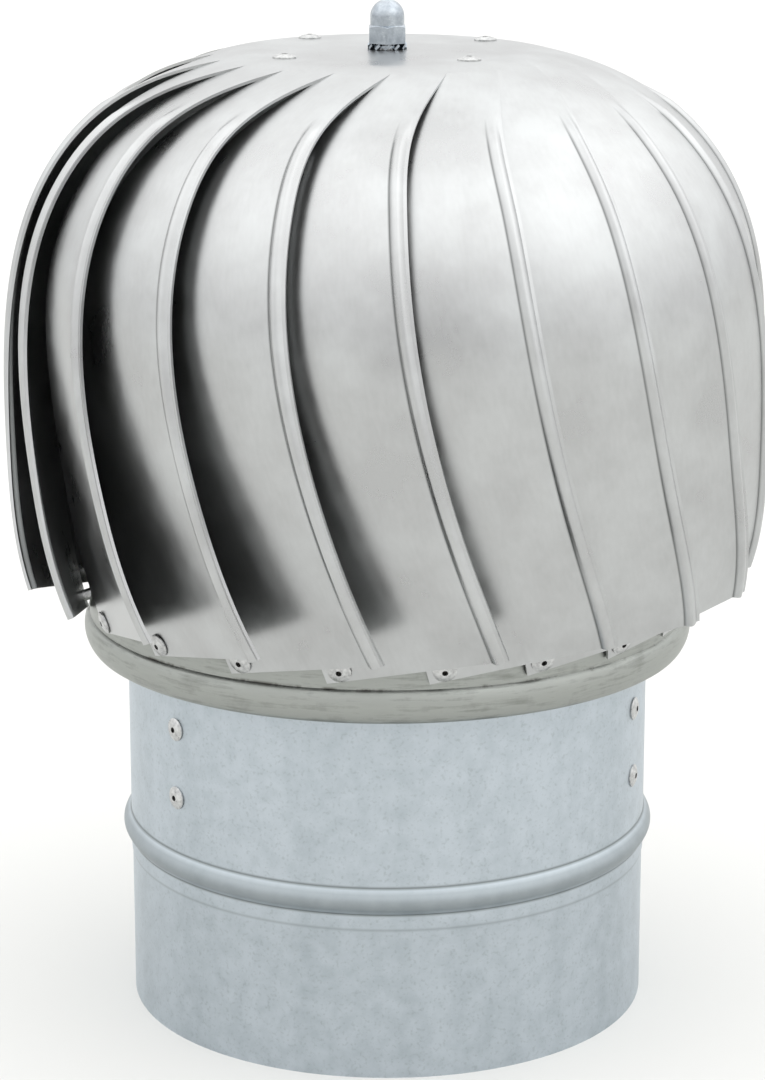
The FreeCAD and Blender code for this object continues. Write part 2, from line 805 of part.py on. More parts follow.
    def rivet_grip(self):
        """From under the rivet's head to the collar's inner face, all round its tail."""
        point, out = self.rivet_seat()
        wall, reach = size(COLLAR_RADIUS + " - collar_sheet"), size("rivet_tail")
        side = out.cross(Vector(0, 0, 1))
        side.normalize()
        rise = side.cross(out)
        deepest = 0.0
        for i in range(12):
            angle = math.radians(30.0 * i)
            start = point + side * (reach * math.cos(angle)) + rise * (reach * math.sin(angle))
            # where a line straight in meets the wall's circle
            flat = out.x**2 + out.y**2
            along = start.x * out.x + start.y * out.y
            gap = start.x**2 + start.y**2 - wall**2
            deepest = max(deepest, (along - math.sqrt(along**2 - flat * gap)) / flat)
        return deepest + size("fit_play")


def dome_seats(first):
    """One place per blade, from the place on the first blade."""
    point, out = first
    placements = []
    for i in range(whole("blade_count")):
        turn = Rotation(Vector(0, 0, 1), 360.0 * i / whole("blade_count"))
        placements.append((turn.multVec(point), turn.multVec(out)))
    return seats(placements)


def crown_seats():
    step = 360.0 / whole("crown_rivets")
    circle, height = size("crown_rivet_circle"), size("crown_height")
    turns = [size("crown_rivet_angle") + step * i for i in range(whole("crown_rivets"))]
    return seats([(around(circle, turn, height), Vector(0, 0, 1)) for turn in turns])


def make_dome():
    blade = Blade()
    top, thick = size("crown_height"), size("dome_sheet")
    flat, rim = size("crown_radius"), size("rim_radius")
    low = top - size("rim_drop")
    bore = size("thread_radius + thread_play")
    points = [
        Vector(bore, 0, top),
        Vector(flat, 0, top),
        Vector(rim, 0, low),
        Vector(rim, 0, low - thick),
        Vector(flat, 0, top - thick),
        Vector(bore, 0, top - thick),
    ]
    crown = Part.Face(Part.makePolygon(points + points[:1]))
    crown = crown.revolve(Vector(0, 0, 0), Vector(0, 0, 1), 360)
    crown = crown.cut(spread(rivet_pin(), crown_seats()))
    one = blade.solid()
    point, out = blade.rivet_seat()
    one = one.cut(spread(rivet_pin(), seats([(point, out)])))
    blades = []
    for i in range(whole("blade_count")):
        copy = one.copy()
        copy.rotate(Vector(0, 0, 0), Vector(0, 0, 1), 360.0 * i / whole("blade_count"))
        blades.append(copy)
    part(shaped("dome", crown.multiFuse(blades)), "slotted_dome")


def make_collar():
    blade = Blade()
    wall, mouth = COLLAR_RADIUS, "tube_radius + collar_clearance"
    inner = wall + " - collar_sheet"
    middle = "(roll_high + roll_low) / 2"
    ring = turned(
        "collar_ring",
        [
            (wall, "collar_high"),
            (wall, "roll_high"),
            (wall + " - roll_tuck", "roll_low", wall + " + roll_rise", middle),
            (mouth, "roll_low"),
            (mouth, "roll_low + collar_sheet"),
            (inner + " - roll_tuck", "roll_low + collar_sheet"),
            (inner, "roll_high", inner + " + roll_rise", middle),
            (inner, "collar_high"),
        ],
    )
    where = dome_seats(blade.rivet_seat())
    holes = shaped("collar_holes", spread(rivet_pin(), where))
    part(cut("collar_drilled", ring, holes), "collar")
    rivets = spread(rivet_shape(blade.rivet_grip()), where)
    part(shaped("collar_rivet_set", rivets), "collar_rivets")


def make_plate():
    plate = turned(
        "plate_disc",
        [
            ("thread_radius + thread_play", PLATE_LOW),
            ("plate_radius", PLATE_LOW),
            ("plate_radius", PLATE_LOW + " + plate_sheet"),
            ("thread_radius + thread_play", PLATE_LOW + " + plate_sheet"),
        ],
    )
    holes = shaped("plate_holes", spread(rivet_pin(), crown_seats()))
    part(cut("plate_drilled", plate, holes), "stiffening_plate")
    grip = size("dome_sheet + plate_sheet")
    part(shaped("crown_rivet_set", spread(rivet_shape(grip), crown_seats())), "crown_rivets")


make_tube()
make_arms()
make_housing()
make_clip("lower_clip", LOW_MOUTH + " - clip_sheet - fit_play / 2")
make_clip("upper_clip", HIGH_MOUTH + " + fit_play / 2")
make_bearing("lower_bearing", LOW_MOUTH)
make_bearing("upper_bearing", HIGH_MOUTH + " - bearing_width")
make_spindle()
make_ring(
    "sleeve",
    "spacer_sleeve",
    "bearing_bore",
    "bearing_bore + sleeve_wall",
    LOW_MOUTH + " + bearing_width",
    HIGH_MOUTH + " - bearing_width",
)
make_ring(
    "washer",
    "flat_washer",
    "thread_radius + thread_play",
    "flat_washer_radius",
    LOW_MOUTH + " - flat_washer_sheet",
    LOW_MOUTH,
)
make_nuts()
make_tooth_washer()
make_plate()
make_dome()
make_collar()

doc.recompute()
for obj in doc.Objects:
    if "Invalid" in obj.State or "Error" in obj.State:
        raise RuntimeError(f"{obj.Label} did not build: {obj.State}")
os.makedirs("parts", exist_ok=True)
for obj in parts:
    if not obj.Shape.isValid() or not obj.Shape.Solids:
        raise RuntimeError(f"{obj.Label} has no valid solid")
    obj.Shape.exportStep(f"parts/{obj.Label}.step")
    print(obj.Label, len(obj.Shape.Solids), round(obj.Shape.Volume, 1))
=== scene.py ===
import math

import bmesh
import bpy
import numpy as np
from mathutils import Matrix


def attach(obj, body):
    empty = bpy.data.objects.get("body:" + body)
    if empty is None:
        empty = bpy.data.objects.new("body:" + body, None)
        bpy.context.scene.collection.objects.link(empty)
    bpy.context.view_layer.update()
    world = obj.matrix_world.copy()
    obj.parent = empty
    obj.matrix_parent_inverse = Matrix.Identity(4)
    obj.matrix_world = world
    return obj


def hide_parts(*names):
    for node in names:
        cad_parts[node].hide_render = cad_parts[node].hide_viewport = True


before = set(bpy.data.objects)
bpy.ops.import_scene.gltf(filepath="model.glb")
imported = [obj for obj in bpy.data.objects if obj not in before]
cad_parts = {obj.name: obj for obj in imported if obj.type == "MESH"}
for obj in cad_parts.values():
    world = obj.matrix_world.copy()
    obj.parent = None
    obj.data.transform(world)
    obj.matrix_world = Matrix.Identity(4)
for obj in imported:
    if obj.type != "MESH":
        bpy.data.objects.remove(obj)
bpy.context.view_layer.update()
print("frame loaded:", len(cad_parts), "nodes")

mm = 0.001
fullTurn = 2 * math.pi
weldReach = 0.0005  # mm


# colours are written as sRGB hex and turned to linear here
def linearColour(hexText):
    srgb = np.array([int(hexText[i:i + 2], 16) for i in (1, 3, 5)]) / 255
    linear = np.where(srgb <= 0.04045, srgb / 12.92, ((srgb + 0.055) / 1.055) ** 2.4)
    return (*linear.tolist(), 1.0)


# adds one shader node: settings are its properties, its input values, a ramp's stops or a Map Range's range
# (from low and high, to low and high); links are the sockets to join to its inputs; a socket that shares its
# name with others goes by number
def addNode(tree, kind, settings, links):
    node = tree.nodes.new(kind)
    for key, value in settings.items():
        if key == "stops":
            band = node.color_ramp.elements
            while len(band) < len(value):
                band.new(1.0)
            for element, (place, colour) in zip(band, value):
                element.position = place
                element.color = linearColour(colour)
        elif key == "range":
            for number, bound in enumerate(value, 1):
                node.inputs[number].default_value = bound
        elif isinstance(key, str) and hasattr(node, key):
            setattr(node, key, value)
        else:
            node.inputs[key].default_value = value
    for key, socket in links.items():
        tree.links.new(socket, node.inputs[key])
    return node


# an empty material with its Principled shader; constants go straight on the shader's sockets
def newMaterial(name, constants):
    material = bpy.data.materials.new(name)
    material.use_nodes = True
    tree = material.node_tree
    shader = tree.nodes["Principled BSDF"]
    for key, value in constants.items():
        shader.inputs[key].default_value = value
    return material, tree, shader.inputs


# noise repeats about once per unit of Scale, so a wave of some mm needs this scale in a metre world
def perWave(millimetres):
    return 1 / (millimetres * mm)


# Surfaces from numpy grids


# joins a grid of points (rows, columns) into quads; a closed direction gets its last strip too
def gridFaces(rows, columns, closeRows, closeColumns):
    i = np.arange(rows if closeRows else rows - 1)[:, None]
    j = np.arange(columns if closeColumns else columns - 1)[None, :]
    nextI, nextJ = (i + 1) % rows, (j + 1) % columns
    quads = [i * columns + j, i * columns + nextJ, nextI * columns + nextJ, nextI * columns + j]
    return np.stack(quads, -1).reshape(-1, 4)


# points (mm) and quads become a mesh object at the origin that rides on a body and stands for CAD nodes
def newPiece(name, points, quads, body, nodes, material, uv=None, sharpAngle=40):
    mesh = bpy.data.meshes.new(name)
    mesh.from_pydata((points.reshape(-1, 3) * mm).tolist(), [], quads.tolist())
    if uv is not None:
        layer = mesh.uv_layers.new(name="UVMap")
        corners = np.empty(len(mesh.loops), np.int32)
        mesh.loops.foreach_get("vertex_index", corners)
        layer.data.foreach_set("uv", uv.reshape(-1, 2)[corners].astype(np.float32).ravel())
    welded = bmesh.new()
    welded.from_mesh(mesh)
    bmesh.ops.remove_doubles(welded, verts=welded.verts, dist=weldReach * mm)
    welded.to_mesh(mesh)
    welded.free()
    mesh.shade_smooth()
    mesh.set_sharp_from_angle(angle=math.radians(sharpAngle))
    mesh.materials.append(material)
    piece = bpy.data.objects.new(name, mesh)
    bpy.context.scene.collection.objects.link(piece)
    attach(piece, body)
    if nodes:
        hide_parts(*nodes)
    return piece


# points at a radius and height, turned from the front towards +X by degrees
def atTurn(radius, height, degrees):
    angle = np.radians(degrees)
    x, y, z = radius * np.sin(angle), -radius * np.cos(angle), height + 0 * angle
    return np.stack(np.broadcast_arrays(x, y, z), -1)


# a closed profile of radius and height, carried once round the axis
def turnedPiece(name, profile, turns, body, nodes, material, sharpAngle=40):
    radius, height = np.array(profile, float).T
    points = atTurn(radius, height, np.linspace(0, 360, turns, endpoint=False)[:, None])
    quads = gridFaces(turns, len(radius), True, True)
    area = np.sum(radius * np.roll(height, -1) - np.roll(radius, -1) * height)
    if area < 0:  # a clockwise profile gives faces that look inwards
        quads = quads[:, ::-1]
    return newPiece(name, points, quads, body, nodes, material, None, sharpAngle)


# Materials: sizes are in mm, tones are ramp stops, and gloss is a range from pattern to roughness

# drawn stainless sheet, mill finish: a soft mirror with a fine grain drawn out down each blade (coarser than
# the real one, so that it shows), shallow waves from the drawing, cloudy smears from handling and painted
# shade: a dark line painted along the crease at the foot of each rib
domeFinish = {
    "tones": [(0.45, "#AFB0B0"), (0.75, "#BDBFBF")], "gloss": (0.4, 0.8, 0.26, 0.39),
    "grainSize": 1.2, "grainDrawn": 0.3, "grainShare": 0.15, "smearSize": 24,
    "waveSize": 38, "waveDrawn": 0.5, "waveDepth": 0.12,
    # the crease colour and its share are painted shade along the crease at each rib's foot
    "crease": "#4E5150", "creaseShadeShare": 0.7, "creaseIn": 4.5, "creaseHalf": 0.45,
    "creaseTop": 28, "creaseFull": 40,
}


def makeDomeSheet():
    finish = domeFinish
    material, tree, shader = newMaterial("drawnStainlessSheet", {"Metallic": 1.0})
    spot = addNode(tree, "ShaderNodeTexCoord", {}, {}).outputs
    # the UV map is in metres, in from a blade's free edge and down it, so grain and crease follow the sheet
    downBlade = addNode(tree, "ShaderNodeMapping", {"Scale": (1, finish["grainDrawn"], 1)},
                        {"Vector": spot["UV"]}).outputs[0]
    grain = addNode(tree, "ShaderNodeTexNoise", {"Scale": perWave(finish["grainSize"]), "Detail": 1.0},
                    {"Vector": downBlade}).outputs[0]
    smear = addNode(tree, "ShaderNodeTexNoise",
                    {"Scale": perWave(finish["smearSize"]), "Detail": 5.0, "Roughness": 0.6},
                    {"Vector": spot["Object"]}).outputs[0]
    uneven = addNode(tree, "ShaderNodeMath", {"operation": "MULTIPLY_ADD", 1: finish["grainShare"]},
                     {0: grain, 2: smear}).outputs[0]
    gloss = addNode(tree, "ShaderNodeMapRange", {"range": finish["gloss"]}, {0: uneven}).outputs[0]
    tone = addNode(tree, "ShaderNodeValToRGB", {"stops": finish["tones"]}, {0: uneven}).outputs[0]
    # painted shade in the crease: near its distance from the free edge, and only where the rib has begun
    place = addNode(tree, "ShaderNodeSeparateXYZ", {}, {0: spot["UV"]}).outputs
    offset = addNode(tree, "ShaderNodeMath", {"operation": "SUBTRACT", 1: finish["creaseIn"] * mm},
                     {0: place["X"]}).outputs[0]
    away = addNode(tree, "ShaderNodeMath", {"operation": "ABSOLUTE"}, {0: offset}).outputs[0]
    near = addNode(tree, "ShaderNodeMapRange",
                   {"range": (0.0, finish["creaseHalf"] * mm, finish["creaseShadeShare"], 0.0)},
                   {0: away}).outputs[0]
    ribbed = addNode(tree, "ShaderNodeMapRange",
                     {"range": (finish["creaseTop"] * mm, finish["creaseFull"] * mm, 0.0, 1.0)},
                     {0: place["Y"]}).outputs[0]
    # painted shade along the crease at the rib's foot, mixed over the sheet's tone
    creaseShadeMask = addNode(tree, "ShaderNodeMath", {"operation": "MULTIPLY"}, {0: near, 1: ribbed}).outputs[0]
    creaseShaded = addNode(tree, "ShaderNodeMix", {"data_type": "RGBA", 7: linearColour(finish["crease"])},
                      {0: creaseShadeMask, 6: tone}).outputs[2]
    tall = addNode(tree, "ShaderNodeMapping", {"Scale": (1, 1, finish["waveDrawn"])},
                   {"Vector": spot["Object"]}).outputs[0]
    waves = addNode(tree, "ShaderNodeTexNoise", {"Scale": perWave(finish["waveSize"]), "Detail": 1.5},
                    {"Vector": tall}).outputs[0]
    waved = addNode(tree, "ShaderNodeBump", {"Distance": finish["waveDepth"] * mm},
                    {"Height": waves}).outputs[0]
    tree.links.new(creaseShaded, shader["Base Color"])
    tree.links.new(gloss, shader["Roughness"])
    tree.links.new(waved, shader["Normal"])
    return material


# hot-dip galvanised sheet: blue-grey zinc, finely mottled, with small dark specks and faint upright bands,
# and grime mixed with painted shade on the bead, in lines along both its edges and on the swage below it
tubeFinish = {
    "tones": [(0.55, "#AAB3B9"), (1.0, "#BCC4CA")], "gloss": (0.55, 1.0, 0.4, 0.52),
    "mottleSize": 5, "bandSize": 16, "bandDrawn": 0.025, "bandShare": 0.7,
    "speckSize": 0.9, "specks": (0.56, 0.75, 0.0, 0.17),
    # the grime colour and the bead, edge and swage shares are part grime, part painted shade
    "grimeAndShade": "#5C625F", "beadGrimeAndShade": 0.42, "edgeGrimeAndShade": 0.75, "swageGrimeAndShade": 0.3, "lineHalf": 0.7,
    "beadMiddle": 51.85, "beadHalf": 3.85, "beadCore": 0.6, "swageMiddle": 43.5,
}


def makeTubeSheet():
    finish = tubeFinish
    material, tree, shader = newMaterial("galvanisedTubeSheet", {"Metallic": 1.0})
    spot = addNode(tree, "ShaderNodeTexCoord", {}, {}).outputs["Object"]
    mottle = addNode(tree, "ShaderNodeTexNoise",
                     {"Scale": perWave(finish["mottleSize"]), "Detail": 4.0, "Roughness": 0.6},
                     {"Vector": spot}).outputs[0]
    upright = addNode(tree, "ShaderNodeMapping", {"Scale": (1, 1, finish["bandDrawn"])},
                      {"Vector": spot}).outputs[0]
    band = addNode(tree, "ShaderNodeTexNoise", {"Scale": perWave(finish["bandSize"]), "Detail": 3.0},
                   {"Vector": upright}).outputs[0]
    mixed = addNode(tree, "ShaderNodeMath", {"operation": "MULTIPLY_ADD", 1: finish["bandShare"]},
                    {0: band, 2: mottle}).outputs[0]
    tone = addNode(tree, "ShaderNodeValToRGB", {"stops": finish["tones"]}, {0: mixed}).outputs[0]
    gloss = addNode(tree, "ShaderNodeMapRange", {"range": finish["gloss"]}, {0: mixed}).outputs[0]
    fine = addNode(tree, "ShaderNodeTexNoise", {"Scale": perWave(finish["speckSize"]), "Detail": 1.0},
                   {"Vector": spot}).outputs[0]
    dirtAndShade = addNode(tree, "ShaderNodeMapRange", {"range": finish["specks"]}, {0: fine}).outputs[0]
    # grime and painted shade by height, thinning out from a middle: thin on the bead, thick in a line at each
    # of its edges and faint in a line on the swage; where they meet, the thickest counts
    height = addNode(tree, "ShaderNodeSeparateXYZ", {}, {0: spot}).outputs["Z"]
    middle, half, reach = finish["beadMiddle"], finish["beadHalf"], finish["lineHalf"]
    for centre, core, rim, share in (
        (middle, finish["beadCore"] * half, half, finish["beadGrimeAndShade"]),
        (middle - half, 0.0, reach, finish["edgeGrimeAndShade"]),
        (middle + half, 0.0, reach, finish["edgeGrimeAndShade"]),
        (finish["swageMiddle"], 0.0, reach, finish["swageGrimeAndShade"]),
    ):
        offset = addNode(tree, "ShaderNodeMath", {"operation": "SUBTRACT", 1: centre * mm},
                         {0: height}).outputs[0]
        away = addNode(tree, "ShaderNodeMath", {"operation": "ABSOLUTE"}, {0: offset}).outputs[0]
        grimeAndShadeLine = addNode(tree, "ShaderNodeMapRange", {"range": (core * mm, rim * mm, share, 0.0)},
                          {0: away}).outputs[0]
        dirtAndShade = addNode(tree, "ShaderNodeMath", {"operation": "MAXIMUM"}, {0: grimeAndShadeLine, 1: dirtAndShade}).outputs[0]
    # specks are real dirt; the bead, edge and swage darkening is part grime, part painted shade
    grimedAndShaded = addNode(tree, "ShaderNodeMix", {"data_type": "RGBA", 7: linearColour(finish["grimeAndShade"])},
                     {0: dirtAndShade, 6: tone}).outputs[2]
    tree.links.new(grimedAndShaded, shader["Base Color"])
    tree.links.new(gloss, shader["Roughness"])
    return material


# rolled sheet left dull: warm grey, scuffed round the bead, with dark grime and painted shade in short dashes
# along the crease
collarFinish = {
    "tones": [(0.7, "#838681"), (0.85, "#90938F"), (1.0, "#9EA19D")], "gloss": (0.7, 1.3, 0.34, 0.52),
    "cloudSize": 12, "scuffSize": 3, "scuffDrawn": (0.2, 0.2, 2.5), "scuffDepth": 0.05,
    # the grime colour and its dashes are part grime, part painted shade in the crease
    "grimeAndShade": "#5C5B57", "dashes": (0.52, 0.62, 0.0, 0.9),
    "crease": 115.6, "creaseCore": 0.1, "creaseHalf": 0.7,
}


def makeCollarSheet():
    finish = collarFinish
    material, tree, shader = newMaterial("dullRolledSheet", {"Metallic": 1.0})
    spot = addNode(tree, "ShaderNodeTexCoord", {}, {}).outputs["Object"]
    cloud = addNode(tree, "ShaderNodeTexNoise",
                    {"Scale": perWave(finish["cloudSize"]), "Detail": 5.0, "Roughness": 0.65},
                    {"Vector": spot}).outputs[0]
    level = addNode(tree, "ShaderNodeMapping", {"Scale": finish["scuffDrawn"]}, {"Vector": spot}).outputs[0]
    scuff = addNode(tree, "ShaderNodeTexNoise",
                    {"Scale": perWave(finish["scuffSize"]), "Detail": 3.0, "Roughness": 0.6},
                    {"Vector": level}).outputs[0]
    worn = addNode(tree, "ShaderNodeMath", {"operation": "ADD"}, {0: cloud, 1: scuff}).outputs[0]
    tone = addNode(tree, "ShaderNodeValToRGB", {"stops": finish["tones"]}, {0: worn}).outputs[0]
    gloss = addNode(tree, "ShaderNodeMapRange", {"range": finish["gloss"]}, {0: worn}).outputs[0]
    # grime and painted shade: near the crease's height, and only where the cloudy noise is high
    height = addNode(tree, "ShaderNodeSeparateXYZ", {}, {0: spot}).outputs["Z"]
    offset = addNode(tree, "ShaderNodeMath", {"operation": "SUBTRACT", 1: finish["crease"] * mm},
                     {0: height}).outputs[0]
    away = addNode(tree, "ShaderNodeMath", {"operation": "ABSOLUTE"}, {0: offset}).outputs[0]
    near = addNode(tree, "ShaderNodeMapRange",
                   {"range": (finish["creaseCore"] * mm, finish["creaseHalf"] * mm, 1.0, 0.0)},
                   {0: away}).outputs[0]
    dashes = addNode(tree, "ShaderNodeMapRange", {"range": finish["dashes"]}, {0: cloud}).outputs[0]
    dirtAndShade = addNode(tree, "ShaderNodeMath", {"operation": "MULTIPLY"}, {0: near, 1: dashes}).outputs[0]
    # grime and painted crease shade mixed over the sheet's tone
    grimedAndShaded = addNode(tree, "ShaderNodeMix", {"data_type": "RGBA", 7: linearColour(finish["grimeAndShade"])},
                     {0: dirtAndShade, 6: tone}).outputs[2]
    bumped = addNode(tree, "ShaderNodeBump", {"Distance": finish["scuffDepth"] * mm},
                     {"Height": scuff}).outputs[0]
    tree.links.new(grimedAndShaded, shader["Base Color"])
    tree.links.new(gloss, shader["Roughness"])
    tree.links.new(bumped, shader["Normal"])
    return material


# plain metals of the small pieces: a narrow band of greys over fine flecks, with a little uneven gloss
smallFinish = {"darkAt": 0.35, "lightAt": 0.65, "glossBand": (0.3, 0.7), "fleckDepth": 0.004}


def makeSmallMetal(name, dark, light, smooth, rough, fleckSize):
    finish = smallFinish
    material, tree, shader = newMaterial(name, {"Metallic": 1.0})
    spot = addNode(tree, "ShaderNodeTexCoord", {}, {}).outputs["Object"]
    fleck = addNode(tree, "ShaderNodeTexNoise",
                    {"Scale": perWave(fleckSize), "Detail": 4.0, "Roughness": 0.6},
                    {"Vector": spot}).outputs[0]
    tone = addNode(tree, "ShaderNodeValToRGB",
                   {"stops": [(finish["darkAt"], dark), (finish["lightAt"], light)]}, {0: fleck}).outputs[0]
    gloss = addNode(tree, "ShaderNodeMapRange", {"range": (*finish["glossBand"], smooth, rough)},
                    {0: fleck}).outputs[0]
    bumped = addNode(tree, "ShaderNodeBump", {"Distance": finish["fleckDepth"] * mm},
                     {"Height": fleck}).outputs[0]
    tree.links.new(tone, shader["Base Color"])
    tree.links.new(gloss, shader["Roughness"])
    tree.links.new(bumped, shader["Normal"])
    return material


# natural nylon, injection moulded: ivory, slightly cloudy and slightly glossy
nylonFinish = {
    "tones": [(0.35, "#D9CDB0"), (0.65, "#E6DCC3")], "gloss": (0.3, 0.7, 0.4, 0.5),
    "cloudSize": 2, "refraction": 1.53,
}


def makeNylon():
    finish = nylonFinish
    material, tree, shader = newMaterial("mouldedNylon", {"IOR": finish["refraction"]})
    spot = addNode(tree, "ShaderNodeTexCoord", {}, {}).outputs["Object"]
    cloud = addNode(tree, "ShaderNodeTexNoise", {"Scale": perWave(finish["cloudSize"])},
                    {"Vector": spot}).outputs[0]
    tone = addNode(tree, "ShaderNodeValToRGB", {"stops": finish["tones"]}, {0: cloud}).outputs[0]
    gloss = addNode(tree, "ShaderNodeMapRange", {"range": finish["gloss"]}, {0: cloud}).outputs[0]
    tree.links.new(tone, shader["Base Color"])
    tree.links.new(gloss, shader["Roughness"])
    return material


domeSheet = makeDomeSheet()
galvanisedTube = makeTubeSheet()
galvanisedStrip = makeSmallMetal("galvanisedStrip", "#8C9196", "#AEB3B8", 0.42, 0.55, 4)
collarSheet = makeCollarSheet()
aluminium = makeSmallMetal("setAluminiumRivet", "#A7A8A8", "#CDCECD", 0.25, 0.42, 1.2)
# broken mandrels: steel, but coloured near-black as painted shade for the rivet holes
mandrelAndHoleShade = makeSmallMetal("brokenMandrelAndHoleShade", "#1E1D1C", "#33312E", 0.5, 0.65, 0.6)
zincPlate = makeSmallMetal("brightZincPlate", "#979EA5", "#B6BDC3", 0.2, 0.3, 2.5)
turnedSteel = makeSmallMetal("turnedSteel", "#9A9C9F", "#B4B6B8", 0.25, 0.35, 2)
groundSteel = makeSmallMetal("groundBearingSteel", "#B7B9BB", "#CBCDCF", 0.12, 0.2, 1)
springSteel = makeSmallMetal("phosphatedSpringSteel", "#2E2F31", "#414245", 0.4, 0.55, 1)
nylon = makeNylon()
print("materials made")


# The dome: one sheet, a flat crown whose rim is slit into twenty blades; mm and degrees

dome = {
    "bladeCount": 20, "sheet": 0.8, "crownTop": 274.8, "crownRadius": 42.0, "boltHole": 3.1,
    "rimRadius": 48.0, "rimDrop": 1.4, "bendHalf": 4.0, "crownTurns": 240,
    "widestRadius": 108.0, "waist": 165.0, "fullness": 2.95,
    "footHeight": 128.0, "footRadius": 105.0, "footDrop": 10.7, "seatRadius": 86.85,
    "edgeTurn": 3.05, "crownSweep": 16.0, "shoulderTilt": 58.0, "crownSnap": 3.3,
    "footSweep": 14.4, "shoulderHeight": 240.0, "footSnap": 1.9,
    "overlap": 10.0, "overlapSnap": 2.2,
    "crownDepth": 6.5, "crownRun": 0.09, "footDepth": 12.0, "footDepthSnap": 1.7,
    "bend": 1.4, "bendHeight": 232.0,
    "ribWidth": 3.6, "ribRise": 1.25, "ribLip": 0.9, "ribStart": 31.0, "ribFull": 40.0,
    "rows": 64, "acrossPoints": 18, "ribPoints": 9, "edgeSteps": 2000, "crownPoints": 14, "bendPoints": 9,
    "crownUvShift": 100.0, "sharpAngle": 35,
}


# where the free edges' outline has a radius: the superellipse's own angle from the crown
def tiltAt(radius):
    return np.arcsin((radius / dome["widestRadius"]) ** (dome["fullness"] / 2))


# free edges' outline: radius = widest * sin(tilt)^(2/fullness),
# height = waist plus or minus a rise * |cos(tilt)|^(2/fullness), with its own rise above and below the waist
def domeOutline(tilt):
    power = 2 / dome["fullness"]
    radius = dome["widestRadius"] * np.sin(tilt) ** power
    above = (dome["crownTop"] - dome["rimDrop"] - dome["waist"]) / np.cos(tiltAt(dome["rimRadius"])) ** power
    below = (dome["waist"] - dome["footHeight"]) / np.cos(tiltAt(dome["footRadius"])) ** power
    share = np.abs(np.cos(tilt)) ** power
    return radius, dome["waist"] + np.where(tilt < math.pi / 2, above, -below) * share


rimTilt = float(tiltAt(dome["rimRadius"]))
footTilt = math.pi - float(tiltAt(dome["footRadius"]))


# unit normal of the outline, as its radial and upward parts
def outlineNormal(tilt):
    step = 1e-4
    (beforeR, beforeZ), (afterR, afterZ) = domeOutline(tilt - step), domeOutline(tilt + step)
    length = np.hypot(afterR - beforeR, beforeZ - afterZ)
    return (beforeZ - afterZ) / length, (afterR - beforeR) / length


# how far down a blade is, from 0 at a height to 1 at the foot
def shareDown(height, top):
    return np.clip((top - height) / (top - dome["footHeight"]), 0, None)


# how far a blade reaches under its neighbour, in degrees: none at the rim, all of it from the waist down
def bladeOverlap(tilt):
    share = np.clip((tilt - rimTilt) / (math.pi / 2 - rimTilt), 0, 1)
    return dome["overlap"] * (1 - (1 - share) ** dome["overlapSnap"]) ** 2


# how deep the tucked edge lies inside the outline: a few mm soon below the rim, ever more towards the foot
def bladeDepth(tilt):
    down = shareDown(domeOutline(tilt)[1], dome["crownTop"] - dome["rimDrop"])
    soon = dome["crownDepth"] * (1 - np.exp(-down / dome["crownRun"]))
    return soon + dome["footDepth"] * down ** dome["footDepthSnap"]


# how round a blade's section is: 1 down to a height, then eased by a smoothstep to 0 at the straight foot
def bladeRoundness(tilt):
    share = np.minimum(shareDown(domeOutline(tilt)[1], dome["bendHeight"]), 1)
    return 1 - share * share * (3 - 2 * share)


# a blade's tucked and free edge as radius, height and degrees from the front, for angles down the outline:
# the free edge lies on the outline and sweeps round at the crown and foot, the tucked one lies inside it
def bladeEdges(tilt):
    shoulder = math.radians(dome["shoulderTilt"])
    radius, height = domeOutline(tilt)
    crownShare = np.clip((shoulder - tilt) / (shoulder - rimTilt), 0, None) ** dome["crownSnap"]
    footShare = shareDown(height, dome["shoulderHeight"]) ** dome["footSnap"]
    turn = dome["edgeTurn"] + dome["crownSweep"] * crownShare + dome["footSweep"] * footShare
    outward, upward = outlineNormal(tilt)
    footOut, footUp = outlineNormal(np.array(footTilt))
    down = shareDown(height, dome["crownTop"] - dome["rimDrop"]) ** 2
    low = np.clip((tilt - math.pi / 2) / (footTilt - math.pi / 2), 0, None) ** 2
    depth, footDepth = bladeDepth(tilt), bladeDepth(np.array(footTilt))
    inner = radius - depth * outward
    inner = inner + low * (dome["seatRadius"] - (dome["footRadius"] - footDepth * footOut))
    under = height - depth * upward - dome["footDrop"] * down + low * footDepth * footUp
    span = 360 / dome["bladeCount"] + bladeOverlap(tilt)
    return (inner, under, turn - span), (radius, height, turn)


# unit normals of a grid of points, out of the side that the rows and columns turn towards
def acrossNormal(points):
    normal = np.cross(np.gradient(points, axis=0), np.gradient(points, axis=1))
    return normal / np.linalg.norm(normal, axis=2, keepdims=True)


